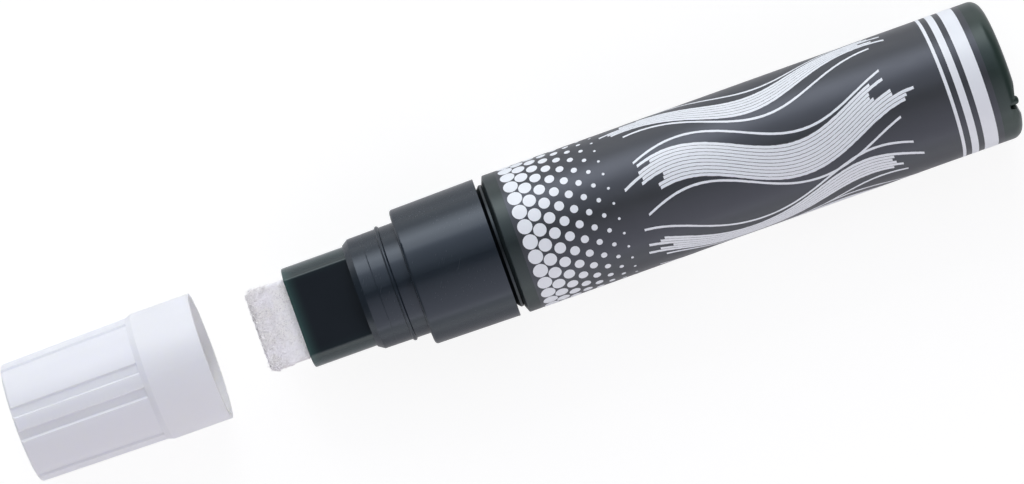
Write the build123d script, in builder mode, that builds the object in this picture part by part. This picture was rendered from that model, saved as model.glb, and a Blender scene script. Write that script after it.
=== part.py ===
import os
from math import cos, hypot, pi, radians, sin, sqrt

from build123d import *

# A jumbo liquid chalk marker lying on its side, with its cap pulled off in front of the nib.
# Millimetres. The pen's axis runs along X: nib and cap towards -X, closed tail towards +X.
# The barrel and the cap rest on Z = 0, and the nib's broad side faces +Z.

# Fits
fit_clearance = 0.05        # radial play of pieces that are snapped or pressed together
film_clearance = 0.02       # glue line under the label
slide_clearance = 0.15      # play of the nib in its holder, per side
snap_clearance = 0.08       # cap's seal rib over the neck's bead, radial

# Nib
nib_width = 15.0
nib_thickness = 8.0
nib_length = 30.0
nib_reach = 7.5             # length that shows in front of the holder
nib_edge_cut = 0.9          # bevel along the long edges
nib_tip_cut = 0.8           # bevel round the writing end
nib_travel = 2.5            # how far pressing moves the nib and the valve
nib_back_room = 0.7         # left behind the nib at full travel

# Nib holder
holder_corner_wall = 0.62   # wall outside the slot's corners
holder_face_wall = 1.85     # wall between the slot and each flat
holder_reach = 11.75        # length that shows in front of the neck
holder_step = 0.4           # how far the round shank starts inside the neck
holder_edge_radius = 0.5    # along the flats
holder_front_radius = 0.3
slot_corner_radius = 0.6

# Nose: neck, collar and spigot
neck_wall = 0.94
neck_length = 9.85
neck_draft = 0.14           # radius lost from the collar to the neck's front
neck_chamfer_length = 1.15
neck_chamfer_depth = 0.8
bead_height = 0.34
bead_width = 0.8
bead_setback = 3.1          # from the collar's front to the bead's crown
neck_line_setback = 6.2     # from the collar's front to the witness line
neck_line_width = 0.2
neck_line_depth = 0.03
collar_length = 16.0
collar_draft = 0.25
collar_edge_radius = 0.6
pocket_floor = 1.5          # wall behind the nib holder
spigot_length = 9.0         # reach into the barrel
spigot_wall = 1.7
barb_height = 0.45
barb_length = 1.6

# Barrel
barrel_diameter = 25.8
barrel_length = 94.3
barrel_wall = 1.6
mouth_lip_wall = 2.5        # thicker ring at the mouth, which the nose's barb snaps behind
mouth_lip_length = 5.0
mouth_cone = 0.55           # how far the mouth's outer edge is set back
mouth_edge_radius = 0.25
tail_edge_radius = 2.0
tail_floor = 2.0
tail_inner_radius = 1.5
foot_recess = 0.8           # dish inside the foot ring
foot_width = 4.2            # foot ring, measured in from the barrel's side
gate_angle = 34.5           # moulding gate in the tail rim, turned from +Z towards -Y
gate_dent_radius = 9.0      # shallow hollow across the rim at the gate
gate_dent_depth = 0.75
gate_rim_inset = 1.15       # gate's centre below the barrel's side
gate_well_radius = 1.25
gate_well_depth = 1.9
gate_nub_radius = 0.8
gate_nub_height = 1.85
gate_nub_offset = 0.35      # from the well's middle towards +Y, which leaves a slit beside the nub
gate_nub_edge_radius = 0.6

# Label
label_thickness = 0.12
label_front_margin = 2.85
label_tail_margin = 3.9
label_seam_gap = 0.8
label_seam_angle = 145.0    # turned from +Z towards -Y, so that the seam is at the back

# Gasket
gasket_width = 1.2
gasket_inset = 1.4          # its crown below the barrel's side
gasket_slope_length = 0.62  # sloped side next to the collar
gasket_slope_height = 0.7
gasket_back_length = 0.15   # sloped side next to the barrel
gasket_back_height = 0.25

# Valve
seat_plug_length = 8.0
seat_wall = 1.4
seat_partition = 1.0        # port wall inside the spigot
seat_flange = 1.5
seat_flange_clearance = 0.6 # inside the mouth lip
seat_rim_wall = 0.9
pusher_radius = 2.8
pusher_thickness = 1.2
rod_radius = 2.0
port_clearance = 0.3        # ink passage round the stem's pusher
seal_overlap = 1.5          # seal's reach over the port's edge
seal_thickness = 1.2
seal_edge = 0.2             # seal's rim inside the stem's head
head_thickness = 1.5
stem_tail_radius = 1.8
stem_tail_overhang = 1.0    # past the cage's end wall at rest
cage_length = 16.0
cage_wall = 1.2
cage_clearance = 0.6        # round the stem's head
cage_flange = 1.5
cage_end_wall = 1.2
cage_windows = 4
cage_window_width = 3.2
cage_window_margin = 1.5    # solid band at each end of a window
guide_clearance = 0.3
spring_wire = 0.6
spring_turns = 6.5
spring_end_gap = 0.03

# Mixing ball
ball_diameter = 8.0
ball_rest_gap = 0.1         # over the bore's lowest line
ball_tail_distance = 14.0   # from the tail's inner face to the ball's centre at rest

# Cap
cap_gap = 9.6               # from the pulled-off cap's mouth to the nib's tip
cap_aside = 1.0             # how far towards -Y of the pen's axis the pulled-off cap lies
cap_headroom = 5.5          # in front of the nib when the cap is on
cap_end_wall = 1.2
cap_end_radius = 0.5
cap_bore_clearance = 0.5    # round the nib holder
cap_neck_room = 0.75        # in front of the neck when the cap is on
skirt_web = 1.4             # solid length from the neck's room to the grip
skirt_wall = 0.8
seal_rib_height = 0.15
seal_rib_width = 0.8
seal_rib_setback = 1.2      # from the mouth to the rib
grip_step = 0.36            # grip's lands below the skirt
grip_ramp = 1.1             # length of the ramp from the grip up to the skirt
grip_draft = 0.4
groove_pairs = 5
groove_width = 2.15         # at the lands
groove_depth = 0.38
groove_side = 0.35          # width of each sloped side
groove_spacing = 22.8       # degrees between the two grooves of a pair

# Radii, from the nib outwards
slot_width = nib_width + 2 * slide_clearance
slot_thickness = nib_thickness + 2 * slide_clearance
holder_radius = hypot(slot_width, slot_thickness) / 2 + holder_corner_wall
holder_thickness = slot_thickness + 2 * holder_face_wall
holder_bore = holder_radius + fit_clearance
neck_front_radius = holder_bore + neck_wall
neck_radius = neck_front_radius + neck_draft
bead_radius = neck_radius + bead_height

# Radii, from the barrel inwards
barrel_radius = barrel_diameter / 2
bore_radius = barrel_radius - barrel_wall
lip_radius = barrel_radius - mouth_lip_wall
label_inner_radius = barrel_radius - label_thickness
label_seat_radius = label_inner_radius - film_clearance
foot_inner_radius = barrel_radius - foot_width
collar_front_radius = barrel_radius - collar_draft
gasket_radius = barrel_radius - gasket_inset
gasket_bore = lip_radius
spigot_radius = lip_radius - fit_clearance
barb_radius = spigot_radius + barb_height
valve_bore = spigot_radius - spigot_wall
seat_radius = valve_bore - fit_clearance
seat_bore = seat_radius - seat_wall
seat_flange_radius = lip_radius - seat_flange_clearance
seat_rim_radius = seat_flange_radius - seat_rim_wall
port_radius = pusher_radius + port_clearance
head_radius = port_radius + seal_overlap
cage_bore = head_radius + cage_clearance
cage_radius = cage_bore + cage_wall
cage_flange_radius = seat_rim_radius - fit_clearance
guide_radius = stem_tail_radius + guide_clearance
spring_radius = (stem_tail_radius + head_radius) / 2

# Radii of the cap
seal_rib_radius = bead_radius + snap_clearance
skirt_bore = seal_rib_radius + seal_rib_height
skirt_radius = skirt_bore + skirt_wall
grip_radius = skirt_radius - grip_step
grip_end_radius = grip_radius - grip_draft
cap_bore = holder_radius + cap_bore_clearance

# Stations along X, with the whole length, cap off, centred on the origin
cap_length = neck_length + holder_reach + nib_reach + cap_headroom + cap_end_wall
skirt_length = neck_length + cap_neck_room + skirt_web
grip_length = cap_length - skirt_length
front_length = gasket_width + collar_length + neck_length + holder_reach + nib_reach + cap_gap + cap_length
mouth_x = (front_length - barrel_length) / 2
tail_x = mouth_x + barrel_length
lip_back_x = mouth_x + mouth_lip_length
tail_inner_x = tail_x - foot_recess - tail_floor
label_front_x = mouth_x + label_front_margin
label_back_x = tail_x - label_tail_margin
collar_back_x = mouth_x - gasket_width
collar_front_x = collar_back_x - collar_length
bead_x = collar_front_x - bead_setback
neck_front_x = collar_front_x - neck_length
holder_front_x = neck_front_x - holder_reach
shank_front_x = neck_front_x + holder_step
nib_tip_x = holder_front_x - nib_reach
nib_back_x = nib_tip_x + nib_length
pocket_x = nib_back_x + nib_travel + nib_back_room
pocket_back_x = pocket_x + pocket_floor
spigot_end_x = mouth_x + spigot_length
barb_x = lip_back_x + fit_clearance
seat_front_x = spigot_end_x - seat_plug_length
partition_x = spigot_end_x - seat_partition
seal_face_x = spigot_end_x + seat_flange
seat_rim_x = seal_face_x + cage_flange
head_x = seal_face_x + seal_thickness
head_back_x = head_x + head_thickness
cage_end_x = seal_face_x + cage_length
cage_inner_x = cage_end_x - cage_end_wall
stem_end_x = cage_end_x + stem_tail_overhang
cap_mouth_x = nib_tip_x - cap_gap
cap_end_x = cap_mouth_x - cap_length
grip_back_x = cap_end_x + grip_length
neck_room_x = cap_mouth_x - neck_length - cap_neck_room
cap_inner_x = cap_end_x + cap_end_wall
seal_rib_back_x = cap_mouth_x - seal_rib_setback
seal_rib_front_x = seal_rib_back_x - seal_rib_width

# Where the axes of the pen and of the cap lie, as (y, z): both rest on the same surface
axis_height = barrel_radius
pen_middle = (0.0, axis_height)
cap_middle = (-cap_aside, skirt_radius)


def axis_along(middle):
    """The axis that a piece is turned about."""
    return Axis((0, *middle), (1, 0, 0))


def lengthwise(middle, turn=0.0):
    """Plane that holds a profile as (x, radius), turned by that many degrees from +Z towards -Y."""
    angle = radians(turn)
    return Plane(origin=(0, *middle), x_dir=(1, 0, 0), z_dir=(0, -cos(angle), -sin(angle)))


def across(x, turn=0.0, middle=pen_middle):
    """Cross-section at x: its local Y points up, turned by that many degrees towards -Y."""
    angle = radians(turn)
    return Plane(origin=(x, *middle), x_dir=(0, cos(angle), sin(angle)), z_dir=(1, 0, 0))


def rim(piece, x, largest=True):
    """The largest or smallest circular edge of a turned piece at station x."""
    circles = piece.edges().filter_by(GeomType.CIRCLE).filter_by_position(Axis.X, x - 0.01, x + 0.01)
    return circles.sort_by(SortBy.RADIUS)[-1 if largest else 0]


def neck_side(setback, depth=0.0):
    """Point (x, radius) that far in front of the collar and that deep in the neck's tapered side."""
    return (collar_front_x - setback, neck_radius - neck_draft * setback / neck_length - depth)


# Barrel: a closed-end tube with a thick mouth lip, the label's seat and a foot ring
with BuildPart() as barrel:
    with BuildSketch(lengthwise(pen_middle)):
        with BuildLine():
            Polyline(
                (mouth_x, lip_radius),
                (mouth_x, gasket_radius),
                (mouth_x + mouth_cone, barrel_radius),
                (label_front_x, barrel_radius),
                (label_front_x, label_seat_radius),
                (label_back_x, label_seat_radius),
                (label_back_x, barrel_radius),
                (tail_x, barrel_radius),
                (tail_x, foot_inner_radius),
                (tail_x - foot_recess, foot_inner_radius - foot_recess),
                (tail_x - foot_recess, 0),
                (tail_inner_x, 0),
                (tail_inner_x, bore_radius),
                (lip_back_x, bore_radius),
                (lip_back_x, lip_radius),
                close=True,
            )
        make_face()
    revolve(axis=axis_along(pen_middle))
    fillet(rim(barrel, mouth_x + mouth_cone), mouth_edge_radius)
    fillet(rim(barrel, tail_x), min(tail_edge_radius, 0.6 * foot_width, 0.9 * label_tail_margin))
    fillet(rim(barrel, tail_inner_x), tail_inner_radius)
    # The moulding gate: a shallow dent across the tail rim, a small well in it and a nub left standing there
    gate_outwards = across(tail_x, gate_angle).y_dir
    with BuildSketch(Plane(origin=(tail_x, *pen_middle), x_dir=(1, 0, 0), z_dir=gate_outwards)):
        with Locations((gate_dent_radius - gate_dent_depth, 0)):
            Circle(gate_dent_radius)
    extrude(amount=barrel_diameter, mode=Mode.SUBTRACT)
    with BuildSketch(across(tail_x, gate_angle)):
        with Locations((0, barrel_radius - gate_rim_inset)):
            Circle(gate_well_radius)
    extrude(amount=-gate_well_depth, mode=Mode.SUBTRACT)
    with BuildSketch(across(tail_x - gate_well_depth, gate_angle)):
        with Locations((gate_nub_offset, barrel_radius - gate_rim_inset)):
            Circle(gate_nub_radius)
    extrude(amount=gate_nub_height)
    gate_nub_x = tail_x - gate_well_depth + gate_nub_height
    fillet(rim(barrel, gate_nub_x, largest=False), min(gate_nub_edge_radius, 0.8 * gate_nub_radius))

# Label: printed film, flush in its seat, with one lengthwise seam
with BuildPart() as label:
    with BuildSketch(across(label_front_x, label_seam_angle)):
        Circle(barrel_radius)
        Circle(label_inner_radius, mode=Mode.SUBTRACT)
        with Locations((0, barrel_radius)):
            Rectangle(label_seam_gap, barrel_radius, mode=Mode.SUBTRACT)
    extrude(amount=label_back_x - label_front_x)

# Gasket: ring between the collar and the barrel's mouth, sloped on both sides of its crown
with BuildPart() as barrel_gasket:
    with BuildSketch(lengthwise(pen_middle)):
        with BuildLine():
            Polyline(
                (collar_back_x, gasket_bore),
                (collar_back_x, gasket_radius - gasket_slope_height),
                (collar_back_x + gasket_slope_length, gasket_radius),
                (mouth_x - gasket_back_length, gasket_radius),
                (mouth_x, gasket_radius - gasket_back_height),
                (mouth_x, gasket_bore),
                close=True,
            )
        make_face()
    revolve(axis=axis_along(pen_middle))

# Nose: neck with its snap bead, collar, and the spigot that snaps behind the barrel's mouth lip
with BuildPart() as nose:
    with BuildSketch(lengthwise(pen_middle)):
        with BuildLine():
            bead_front = neck_side(bead_setback + bead_width / 2)
            bead_back = neck_side(bead_setback - bead_width / 2)
            Polyline(
                (neck_front_x, holder_bore),
                (neck_front_x, neck_front_radius - min(neck_chamfer_depth, 0.8 * neck_wall)),
                neck_side(neck_length - neck_chamfer_length),
                neck_side(neck_line_setback + neck_line_width / 2),
                neck_side(neck_line_setback, neck_line_depth),
                neck_side(neck_line_setback - neck_line_width / 2),
                bead_front,
            )
            ThreePointArc(bead_front, (bead_x, bead_radius), bead_back)
            Polyline(
                bead_back,
                (collar_front_x, neck_radius),
                (collar_front_x, collar_front_radius),
                (collar_back_x, barrel_radius),
                (collar_back_x, spigot_radius),
                (barb_x, spigot_radius),
                (barb_x, barb_radius),
                (barb_x + barb_length, spigot_radius),
                (spigot_end_x, spigot_radius),
                (spigot_end_x, valve_bore),
                (pocket_back_x, valve_bore),
                (pocket_back_x, port_radius),
                (pocket_x, port_radius),
                (pocket_x, holder_bore),
                (neck_front_x, holder_bore),
            )
        make_face()
    revolve(axis=axis_along(pen_middle))
    fillet(rim(nose, collar_front_x), min(collar_edge_radius, 0.6 * (collar_front_radius - neck_radius)))

# Nib holder: flats on the part that shows, a round shank inside the neck, a slot right through
with BuildPart() as nib_holder:
    with BuildSketch(across(holder_front_x)):
        Circle(holder_radius)
        Rectangle(2 * holder_radius, holder_thickness, mode=Mode.INTERSECT)
    extrude(amount=shank_front_x - holder_front_x)
    fillet(nib_holder.edges().filter_by(Axis.X), min(holder_edge_radius, 0.9 * holder_corner_wall))
    fillet(nib_holder.faces().sort_by(Axis.X)[0].edges(), min(holder_front_radius, 0.5 * holder_corner_wall))
    with BuildSketch(across(shank_front_x)):
        Circle(holder_radius)
    extrude(amount=pocket_x - shank_front_x)
    with BuildSketch(across(holder_front_x)):
        RectangleRounded(slot_width, slot_thickness, min(slot_corner_radius, 0.8 * nib_edge_cut))
    extrude(amount=pocket_x - holder_front_x, mode=Mode.SUBTRACT)

# Nib: a felt block with bevelled edges
with BuildPart() as nib:
    with BuildSketch(across(nib_tip_x)) as nib_section:
        Rectangle(nib_width, nib_thickness)
        chamfer(nib_section.vertices(), nib_edge_cut)
    extrude(amount=nib_length)
    chamfer(nib.faces().sort_by(Axis.X)[0].edges(), nib_tip_cut)

# Valve seat: a plug in the spigot, with the ink port and a rim that holds the cage
with BuildPart() as valve_seat:
    with BuildSketch(lengthwise(pen_middle)):
        with BuildLine():
            Polyline(
                (seat_front_x, seat_bore),
                (seat_front_x, seat_radius),
                (spigot_end_x, seat_radius),
                (spigot_end_x, seat_flange_radius),
                (seat_rim_x, seat_flange_radius),
                (seat_rim_x, seat_rim_radius),
                (seal_face_x, seat_rim_radius),
                (seal_face_x, port_radius),
                (partition_x, port_radius),
                (partition_x, seat_bore),
                close=True,
            )
        make_face()
    revolve(axis=axis_along(pen_middle))

# Valve stem: pusher against the nib, rod through the port, head behind the seal, tail in the cage
with BuildPart() as valve_stem:
    with BuildSketch(lengthwise(pen_middle)):
        with BuildLine():
            Polyline(
                (nib_back_x, 0),
                (nib_back_x, pusher_radius),
                (nib_back_x + pusher_thickness, pusher_radius),
                (nib_back_x + pusher_thickness, rod_radius),
                (head_x, rod_radius),
                (head_x, head_radius),
                (head_back_x, head_radius),
                (head_back_x, stem_tail_radius),
                (stem_end_x, stem_tail_radius),
                (stem_end_x, 0),
                close=True,
            )
        make_face()
    revolve(axis=axis_along(pen_middle))

# Valve seal: a washer in front of the stem's head
with BuildPart() as valve_seal:
    with BuildSketch(across(seal_face_x)):
        Circle(head_radius - seal_edge)
        Circle(rod_radius + fit_clearance, mode=Mode.SUBTRACT)
    extrude(amount=seal_thickness)

# Valve cage: a flanged cup round the spring, with windows that let the ink in
with BuildPart() as valve_cage:
    with BuildSketch(lengthwise(pen_middle)):
        with BuildLine():
            Polyline(
                (seal_face_x, cage_bore),
                (seal_face_x, cage_flange_radius),
                (seat_rim_x, cage_flange_radius),
                (seat_rim_x, cage_radius),
                (cage_end_x, cage_radius),
                (cage_end_x, guide_radius),
                (cage_inner_x, guide_radius),
                (cage_inner_x, cage_bore),
                close=True,
            )
        make_face()
    revolve(axis=axis_along(pen_middle))
    with BuildSketch(across(seat_rim_x + cage_window_margin)):
        with PolarLocations((cage_bore + cage_radius) / 2, cage_windows, start_angle=45):
            Rectangle(3 * cage_wall, cage_window_width)
    extrude(amount=cage_inner_x - seat_rim_x - 2 * cage_window_margin, mode=Mode.SUBTRACT)


def spring_point(turn):
    """Point on the spring's helix after that many turns, and the direction it runs in."""
    first_x = head_back_x + spring_wire / 2 + spring_end_gap
    last_x = cage_inner_x - spring_wire / 2 - spring_end_gap
    pitch = (last_x - first_x) / spring_turns
    angle = 2 * pi * turn
    point = Vector(
        first_x + pitch * turn,
        spring_radius * sin(angle),
        axis_height + spring_radius * cos(angle),
    )
    around = 2 * pi * spring_radius
    heading = Vector(pitch, around * cos(angle), -around * sin(angle)).normalized()
    return point, heading


def biarc(start, heading, end, end_heading):
    """Two tangent arcs from start to end that leave and arrive along the headings."""
    chord = end - start
    bend = 1 - heading.dot(end_heading)
    along = chord.dot(heading + end_heading)
    reach = (sqrt(along**2 + 2 * bend * chord.dot(chord)) - along) / (2 * bend)
    middle = (start + heading * reach + end - end_heading * reach) * 0.5
    first = TangentArc(start, middle, tangent=heading)
    TangentArc(middle, end, tangent=first % 1)


# Valve spring: round wire, wound on quarter-turn arcs
quarter_turns = round(4 * spring_turns)
with BuildPart() as valve_spring:
    with BuildLine() as spring_line:
        for quarter in range(quarter_turns):
            biarc(*spring_point(quarter / 4), *spring_point((quarter + 1) / 4))
    spring_start, spring_heading = spring_point(0)
    with BuildSketch(Plane(origin=spring_start, z_dir=spring_heading)):
        Circle(spring_wire / 2)
    sweep(path=spring_line.line)

# Mixing ball: loose in the reservoir, lying on the bore's lowest line
with BuildPart() as mixing_ball:
    ball_height = axis_height - bore_radius + ball_diameter / 2 + ball_rest_gap
    with Locations((tail_inner_x - ball_tail_distance, 0, ball_height)):
        Sphere(ball_diameter / 2)

# Cap: fluted grip, plain skirt over the neck, seal rib inside the mouth
with BuildPart() as cap:
    with BuildSketch(lengthwise(cap_middle)):
        with BuildLine():
            Polyline(
                (cap_end_x, 0),
                (cap_end_x, grip_end_radius),
                (grip_back_x, grip_radius),
                (grip_back_x + grip_ramp, skirt_radius),
                (cap_mouth_x, skirt_radius),
                (cap_mouth_x, skirt_bore),
                (seal_rib_back_x, skirt_bore),
                (seal_rib_back_x, seal_rib_radius),
                (seal_rib_front_x, seal_rib_radius),
                (seal_rib_front_x, skirt_bore),
                (neck_room_x, skirt_bore),
                (neck_room_x, cap_bore),
                (cap_inner_x, cap_bore),
                (cap_inner_x, 0),
                close=True,
            )
        make_face()
    revolve(axis=axis_along(cap_middle))
    fillet(rim(cap, cap_end_x), min(cap_end_radius, 0.4 * cap_end_wall))
    # Grooves in pairs with sloped sides, open at the closed end, one pair facing up
    groove_floor = groove_width - 2 * groove_side
    for pair in range(groove_pairs):
        for side in (-1, 1):
            section = across(cap_end_x, 360 * pair / groove_pairs + side * groove_spacing / 2, cap_middle)
            with BuildSketch(section):
                with BuildLine():
                    Polyline(
                        (-groove_floor / 2, grip_end_radius - groove_depth),
                        (groove_floor / 2, grip_end_radius - groove_depth),
                        (groove_floor / 2 + 2 * groove_side, grip_end_radius + groove_depth),
                        (-groove_floor / 2 - 2 * groove_side, grip_end_radius + groove_depth),
                        close=True,
                    )
                make_face()
            along_grip = Vector(grip_length, 0, 0) + section.y_dir * grip_draft
            extrude(amount=along_grip.length, dir=along_grip, mode=Mode.SUBTRACT)

# One file for each piece
pieces = {
    "barrel": barrel,
    "label": label,
    "barrel_gasket": barrel_gasket,
    "nose": nose,
    "nib_holder": nib_holder,
    "nib": nib,
    "valve_seat": valve_seat,
    "valve_stem": valve_stem,
    "valve_seal": valve_seal,
    "valve_spring": valve_spring,
    "valve_cage": valve_cage,
    "mixing_ball": mixing_ball,
    "cap": cap,
}
os.makedirs("parts", exist_ok=True)
for piece_name, piece in pieces.items():
    piece.part.label = piece_name
    export_step(piece.part, f"parts/{piece_name}.step")
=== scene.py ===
from math import cos, degrees, pi, radians, sin

import bmesh
import bpy
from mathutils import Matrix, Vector


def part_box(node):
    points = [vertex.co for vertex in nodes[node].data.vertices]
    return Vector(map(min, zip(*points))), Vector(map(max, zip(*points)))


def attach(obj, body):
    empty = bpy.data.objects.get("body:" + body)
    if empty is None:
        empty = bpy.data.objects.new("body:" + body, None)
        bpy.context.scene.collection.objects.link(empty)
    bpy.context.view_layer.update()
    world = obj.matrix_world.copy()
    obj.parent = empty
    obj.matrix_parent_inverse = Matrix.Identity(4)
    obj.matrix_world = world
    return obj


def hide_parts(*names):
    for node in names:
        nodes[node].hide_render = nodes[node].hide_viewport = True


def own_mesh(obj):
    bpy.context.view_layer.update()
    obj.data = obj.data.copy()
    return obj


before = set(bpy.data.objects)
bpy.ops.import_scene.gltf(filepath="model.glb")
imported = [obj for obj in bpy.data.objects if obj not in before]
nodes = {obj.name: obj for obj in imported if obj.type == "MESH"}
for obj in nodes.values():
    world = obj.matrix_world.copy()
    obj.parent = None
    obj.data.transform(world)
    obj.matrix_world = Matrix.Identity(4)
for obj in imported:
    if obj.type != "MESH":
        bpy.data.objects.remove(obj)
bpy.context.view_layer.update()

# A wide-nib liquid chalk marker lying on a white floor, seen straight from above, its cap pulled off.
# Metres, in the frame of the solids: the pen's axis along X, the nib and the cap towards -X, +Z up.
MM = 0.001

# Places read from the frame
barrel_low, barrel_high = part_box("barrel")
label_low, label_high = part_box("label")
nib_low, nib_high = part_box("nib")
holder_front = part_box("nib_holder")[0].x
cap_low, cap_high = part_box("cap")
axis_height = (barrel_low.z + barrel_high.z) / 2
barrel_radius = (barrel_high.z - barrel_low.z) / 2


# Small helpers

def linear(hex_colour):
    """An sRGB hex colour as linear RGBA."""
    channels = [int(hex_colour[i:i + 2], 16) / 255 for i in (1, 3, 5)]
    return [c / 12.92 if c <= 0.04045 else ((c + 0.055) / 1.055) ** 2.4 for c in channels] + [1.0]


def per_metre(size_mm):
    """Texture scale that gives a pattern this size."""
    return 1 / (size_mm * MM)


def add(tree, kind, inputs=None, **settings):
    """Adds a node: settings are its properties, inputs its values or the sockets that feed it."""
    node = tree.nodes.new(kind)
    for name, value in settings.items():
        setattr(node, name, value)
    for socket, value in (inputs or {}).items():
        if isinstance(value, bpy.types.NodeSocket):
            tree.links.new(value, node.inputs[socket])
        else:
            node.inputs[socket].default_value = value
    return node


def blank_material(name):
    """A material with nothing but its shader and its output."""
    made = bpy.data.materials.new(name)
    made.use_nodes = True
    tree = made.node_tree
    tree.nodes.clear()
    shader = add(tree, "ShaderNodeBsdfPrincipled")
    add(tree, "ShaderNodeOutputMaterial", {"Surface": shader.outputs["BSDF"]})
    return made, tree, shader


def blank_tree(name, sizes):
    """A geometry tree with these named inputs: a number, a count or a material each."""
    tree = bpy.data.node_groups.new(name, "GeometryNodeTree")
    tree.interface.new_socket("Geometry", in_out="OUTPUT", socket_type="NodeSocketGeometry")
    tree.interface.new_socket("Geometry", in_out="INPUT", socket_type="NodeSocketGeometry")
    for size, kind in sizes.items():
        tree.interface.new_socket(size, in_out="INPUT", socket_type=kind)
    return tree, add(tree, "NodeGroupInput").outputs


def grown(name, tree, sizes, start=None):
    """Runs a geometry tree with these sizes and keeps the result as a plain mesh object. The empty material
    slot that a new mesh starts with goes, so that the tree's own material is the first."""
    seed = bpy.data.objects.new(name + "_seed", start or bpy.data.meshes.new(name + "_seed"))
    bpy.context.scene.collection.objects.link(seed)
    modifier = seed.modifiers.new("tree", "NODES")
    modifier.node_group = tree
    for socket in tree.interface.items_tree:
        if socket.in_out == "INPUT" and socket.name in sizes:
            modifier[socket.identifier] = sizes[socket.name]
    depsgraph = bpy.context.evaluated_depsgraph_get()
    mesh = bpy.data.meshes.new_from_object(seed.evaluated_get(depsgraph), depsgraph=depsgraph)
    bpy.data.objects.remove(seed)
    mesh.materials.pop(index=0)
    piece = bpy.data.objects.new(name, mesh)
    bpy.context.scene.collection.objects.link(piece)
    return piece


def joined(name, pieces):
    """One mesh object from several that share a material."""
    merged = bmesh.new()
    for piece in pieces:
        merged.from_mesh(piece.data)
    mesh = bpy.data.meshes.new(name)
    merged.to_mesh(mesh)
    merged.free()
    mesh.materials.append(pieces[0].data.materials[0])
    for piece in pieces:
        bpy.data.objects.remove(piece)
    whole = bpy.data.objects.new(name, mesh)
    bpy.context.scene.collection.objects.link(whole)
    return whole


# Materials

def moulded_dark_polypropylene(name, colour, cloud_colour, roughness, shine, painted_glow_places):
    """Black polypropylene from a polished tool: a satin skin, slightly cloudy, with fine hairlines
    from handling that show only as breaks in the sheen. Where the wall ends or is thin, a greener
    painted glow stands in for the light that gets through it: each painted glow place is an axis,
    where the glow is brightest, where it ends and its colour."""
    made, tree, shader = blank_material(name)
    place = add(tree, "ShaderNodeTexCoord").outputs["Object"]
    clouds = add(tree, "ShaderNodeTexNoise", {"Vector": place, "Scale": per_metre(7.0), "Detail": 3.0})
    tint = add(tree, "ShaderNodeMix", {0: clouds.outputs["Fac"], 6: linear(colour), 7: linear(cloud_colour)},
               data_type="RGBA")
    # Painted glow: the base colour turns greener where light would come through a thin wall
    for axis, glow_brightest, ends, painted_glow_colour in painted_glow_places:
        along = add(tree, "ShaderNodeSeparateXYZ", {"Vector": place}).outputs[axis]
        nearness = add(tree, "ShaderNodeMapRange", {
            "Value": along, "From Min": ends, "From Max": glow_brightest, "To Min": 0.0, "To Max": 1.0,
        }).outputs["Result"]
        painted_glow_share = add(tree, "ShaderNodeMath", {0: nearness, 1: 2.0}, operation="POWER").outputs[0]
        tint = add(tree, "ShaderNodeMix", {0: painted_glow_share, 6: tint.outputs[2], 7: linear(painted_glow_colour)},
                   data_type="RGBA")
    slanted = add(tree, "ShaderNodeMapping", {
        "Vector": place,
        "Rotation": (0.0, 0.0, radians(62)),
        "Scale": (5.0 * MM, 0.22 * MM, 0.22 * MM),
    }, vector_type="TEXTURE")
    hairs = add(tree, "ShaderNodeTexNoise", {
        "Vector": slanted.outputs["Vector"], "Scale": 1.0, "Detail": 1.0,
    })
    scratches = add(tree, "ShaderNodeMapRange", {
        "Value": hairs.outputs["Fac"], "From Min": 0.60, "From Max": 0.74, "To Min": 0.0, "To Max": 0.045,
    })
    sheen = add(tree, "ShaderNodeMapRange", {
        "Value": clouds.outputs["Fac"], "From Min": 0.3, "From Max": 0.7,
        "To Min": roughness - 0.03, "To Max": roughness + 0.02,
    })
    worn = add(tree, "ShaderNodeMath", {0: sheen.outputs["Result"], 1: scratches.outputs["Result"]},
               operation="ADD")
    skin = add(tree, "ShaderNodeTexNoise", {"Vector": place, "Scale": per_metre(0.35), "Detail": 2.0})
    bump = add(tree, "ShaderNodeBump", {
        "Height": skin.outputs["Fac"], "Strength": 0.12, "Distance": 0.01 * MM,
    })
    tree.links.new(tint.outputs[2], shader.inputs["Base Color"])
    tree.links.new(worn.outputs[0], shader.inputs["Roughness"])
    tree.links.new(bump.outputs["Normal"], shader.inputs["Normal"])
    shader.inputs["IOR"].default_value = 1.49
    shader.inputs["Specular Tint"].default_value = linear(shine)
    return made


def printed_film(name, colour, ink_colour, roughness, shine):
    """Polypropylene label film, printed and varnished: even ink with a faint press mottle, soft gloss."""
    made, tree, shader = blank_material(name)
    place = add(tree, "ShaderNodeTexCoord").outputs["Object"]
    mottle = add(tree, "ShaderNodeTexNoise", {"Vector": place, "Scale": per_metre(4.0), "Detail": 1.0})
    ink = add(tree, "ShaderNodeMix", {0: mottle.outputs["Fac"], 6: linear(colour), 7: linear(ink_colour)},
              data_type="RGBA")
    sheen = add(tree, "ShaderNodeMapRange", {
        "Value": mottle.outputs["Fac"], "From Min": 0.3, "From Max": 0.7,
        "To Min": roughness - 0.025, "To Max": roughness + 0.025,
    })
    ripple = add(tree, "ShaderNodeTexNoise", {"Vector": place, "Scale": per_metre(3.0), "Detail": 1.0})
    bump = add(tree, "ShaderNodeBump", {
        "Height": ripple.outputs["Fac"], "Strength": 0.1, "Distance": 0.03 * MM,
    })
    tree.links.new(ink.outputs[2], shader.inputs["Base Color"])
    tree.links.new(sheen.outputs["Result"], shader.inputs["Roughness"])
    tree.links.new(bump.outputs["Normal"], shader.inputs["Normal"])
    shader.inputs["IOR"].default_value = 1.49
    shader.inputs["Specular Tint"].default_value = linear(shine)
    return made


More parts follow.
